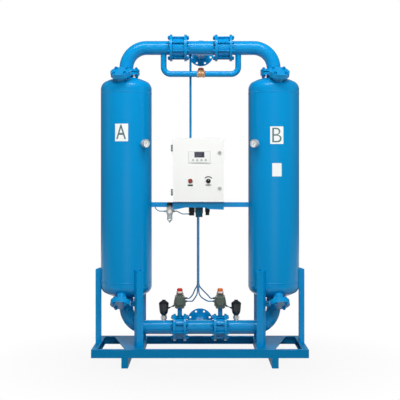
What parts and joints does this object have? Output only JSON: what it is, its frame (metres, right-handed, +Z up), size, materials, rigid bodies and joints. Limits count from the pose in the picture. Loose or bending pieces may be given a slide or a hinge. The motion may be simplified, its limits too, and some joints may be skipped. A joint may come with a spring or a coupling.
{
  "type": "twin-tower adsorption air dryer",
  "caption": "Skid-mounted desiccant air dryer with twin blue pressure towers, pipe headers with check and butterfly valves, exhaust valves, purge line and a white control box with a hinged door",
  "frame": {"origin": "on the floor under the middle of the skid", "axes": "+Z up, +X to the right seen from the front, the control box door faces -Y"},
  "size_m": [1.33, 0.55, 2.0779],
  "materials": {
    "blue_paint": "gloss enamel",
    "white_paint": "powder coat",
    "bright_steel": "plain",
    "grey_alloy": "plain",
    "olive_alloy": "anodised",
    "brass": "plain",
    "black_plastic": "satin",
    "white_plastic": "satin",
    "red_plastic": "gloss",
    "orange_plastic": "gloss",
    "clear_plastic": "clear",
    "tube_blue": "gloss",
    "desiccant": "bead bed"
  },
  "bodies": {
    "dryer": {"skid_front_beam": "blue_paint", "skid_rear_beam": "blue_paint", "skid_left_beam": "blue_paint", "skid_right_beam": "blue_paint", "skid_runners": "blue_paint", "bearer_A": "blue_paint", "bearer_B": "blue_paint", "tower_A_legs": "blue_paint", "tower_B_legs": "blue_paint", "vessel_A": "blue_paint", "vessel_B": "blue_paint", "desiccant_bed_A": "desiccant", "desiccant_bed_B": "desiccant", "bed_screens": "bright_steel", "fill_covers": "blue_paint", "drain_covers": "blue_paint", "port_bolts": "blue_paint", "outlet_pipe_A": "blue_paint", "outlet_pipe_B": "blue_paint", "check_valve_A": "blue_paint", "check_valve_B": "blue_paint", "outlet_header": "blue_paint", "outlet_bolts": "blue_paint", "inlet_pipe_A": "blue_paint", "inlet_pipe_B": "blue_paint", "butterfly_valve_A": "blue_paint", "butterfly_valve_B": "blue_paint", "actuator_A": "olive_alloy", "actuator_B": "olive_alloy", "inlet_header": "blue_paint", "inlet_bolts": "blue_paint", "exhaust_valves": "bright_steel", "exhaust_heads": "black_plastic", "purge_pipe": "blue_paint", "purge_valve": "brass", "box_bracket": "blue_paint", "box_body": "white_paint", "filter_regulator": "grey_alloy", "filter_bowl": "clear_plastic", "gauges": "grey_alloy", "solenoid_valves": "black_plastic", "air_tubes": "tube_blue", "cable_conduit": "blue_paint"},
    "door": {"box_door": "white_paint", "controller": "white_plastic", "power_lamp": "red_plastic"},
    "lock_upper": {"door_lock_upper": "bright_steel"},
    "lock_lower": {"door_lock_lower": "bright_steel"},
    "selector": {"selector_knob": "black_plastic"},
    "disc_A": {"butterfly_disc_A": "bright_steel", "indicator_A": "red_plastic"},
    "disc_B": {"butterfly_disc_B": "bright_steel", "indicator_B": "orange_plastic"},
    "check_A": {"check_plate_A": "bright_steel"},
    "check_B": {"check_plate_B": "bright_steel"},
    "purge_handle": {"purge_knob": "brass"},
    "regulator_handle": {"regulator_knob": "black_plastic"},
    "needle_A": {"gauge_needle_A": "black_plastic"},
    "needle_B": {"gauge_needle_B": "black_plastic"}
  },
  "joints": [
    {"name": "door_hinge", "type": "hinge", "parent": "dryer", "child": "door", "pos_m": [-0.177, -0.091, 1.213], "axis": [0, 0, -1], "range_deg": [0, 110]},
    {"name": "upper_lock_turn", "type": "hinge", "parent": "door", "child": "lock_upper", "pos_m": [0.123, -0.1, 1.32], "axis": [0, -1, 0], "range_deg": [0, 90]},
    {"name": "lower_lock_turn", "type": "hinge", "parent": "door", "child": "lock_lower", "pos_m": [0.123, -0.1, 1.097], "axis": [0, -1, 0], "range_deg": [0, 90]},
    {"name": "selector_turn", "type": "hinge", "parent": "door", "child": "selector", "pos_m": [0.052, -0.115, 1.144], "axis": [0, -1, 0], "range_deg": [-45, 45]},
    {"name": "butterfly_A_turn", "type": "hinge", "parent": "dryer", "child": "disc_A", "pos_m": [-0.129, 0, 0.21112], "axis": [0, 0, 1], "range_deg": [0, 90]},
    {"name": "butterfly_B_turn", "type": "hinge", "parent": "dryer", "child": "disc_B", "pos_m": [0.129, 0, 0.21112], "axis": [0, 0, 1], "range_deg": [0, 90]},
    {"name": "check_A_lift", "type": "slide", "parent": "dryer", "child": "check_A", "axis": [1, 0, 0], "range_m": [0, 0.015], "stiffness_N_per_m": 300, "springref_m": -0.004},
    {"name": "check_B_lift", "type": "slide", "parent": "dryer", "child": "check_B", "axis": [-1, 0, 0], "range_m": [0, 0.015], "stiffness_N_per_m": 300, "springref_m": -0.004},
    {"name": "purge_turn", "type": "hinge", "parent": "dryer", "child": "purge_handle", "pos_m": [0.006, 0, 1.86], "axis": [0, 0, 1], "range_deg": [-360, 360]},
    {"name": "regulator_turn", "type": "hinge", "parent": "dryer", "child": "regulator_handle", "pos_m": [-0.192, -0.0355, 1], "axis": [0, 0, 1], "range_deg": [-360, 360]},
    {"name": "needle_A_turn", "type": "hinge", "parent": "dryer", "child": "needle_A", "pos_m": [-0.33534, -0.16049, 1.378], "axis": [0.6428, -0.766, 0], "range_deg": [-95, 175]},
    {"name": "needle_B_turn", "type": "hinge", "parent": "dryer", "child": "needle_B", "pos_m": [0.33534, -0.16049, 1.378], "axis": [-0.6428, -0.766, 0], "range_deg": [-95, 175]}
  ]
}
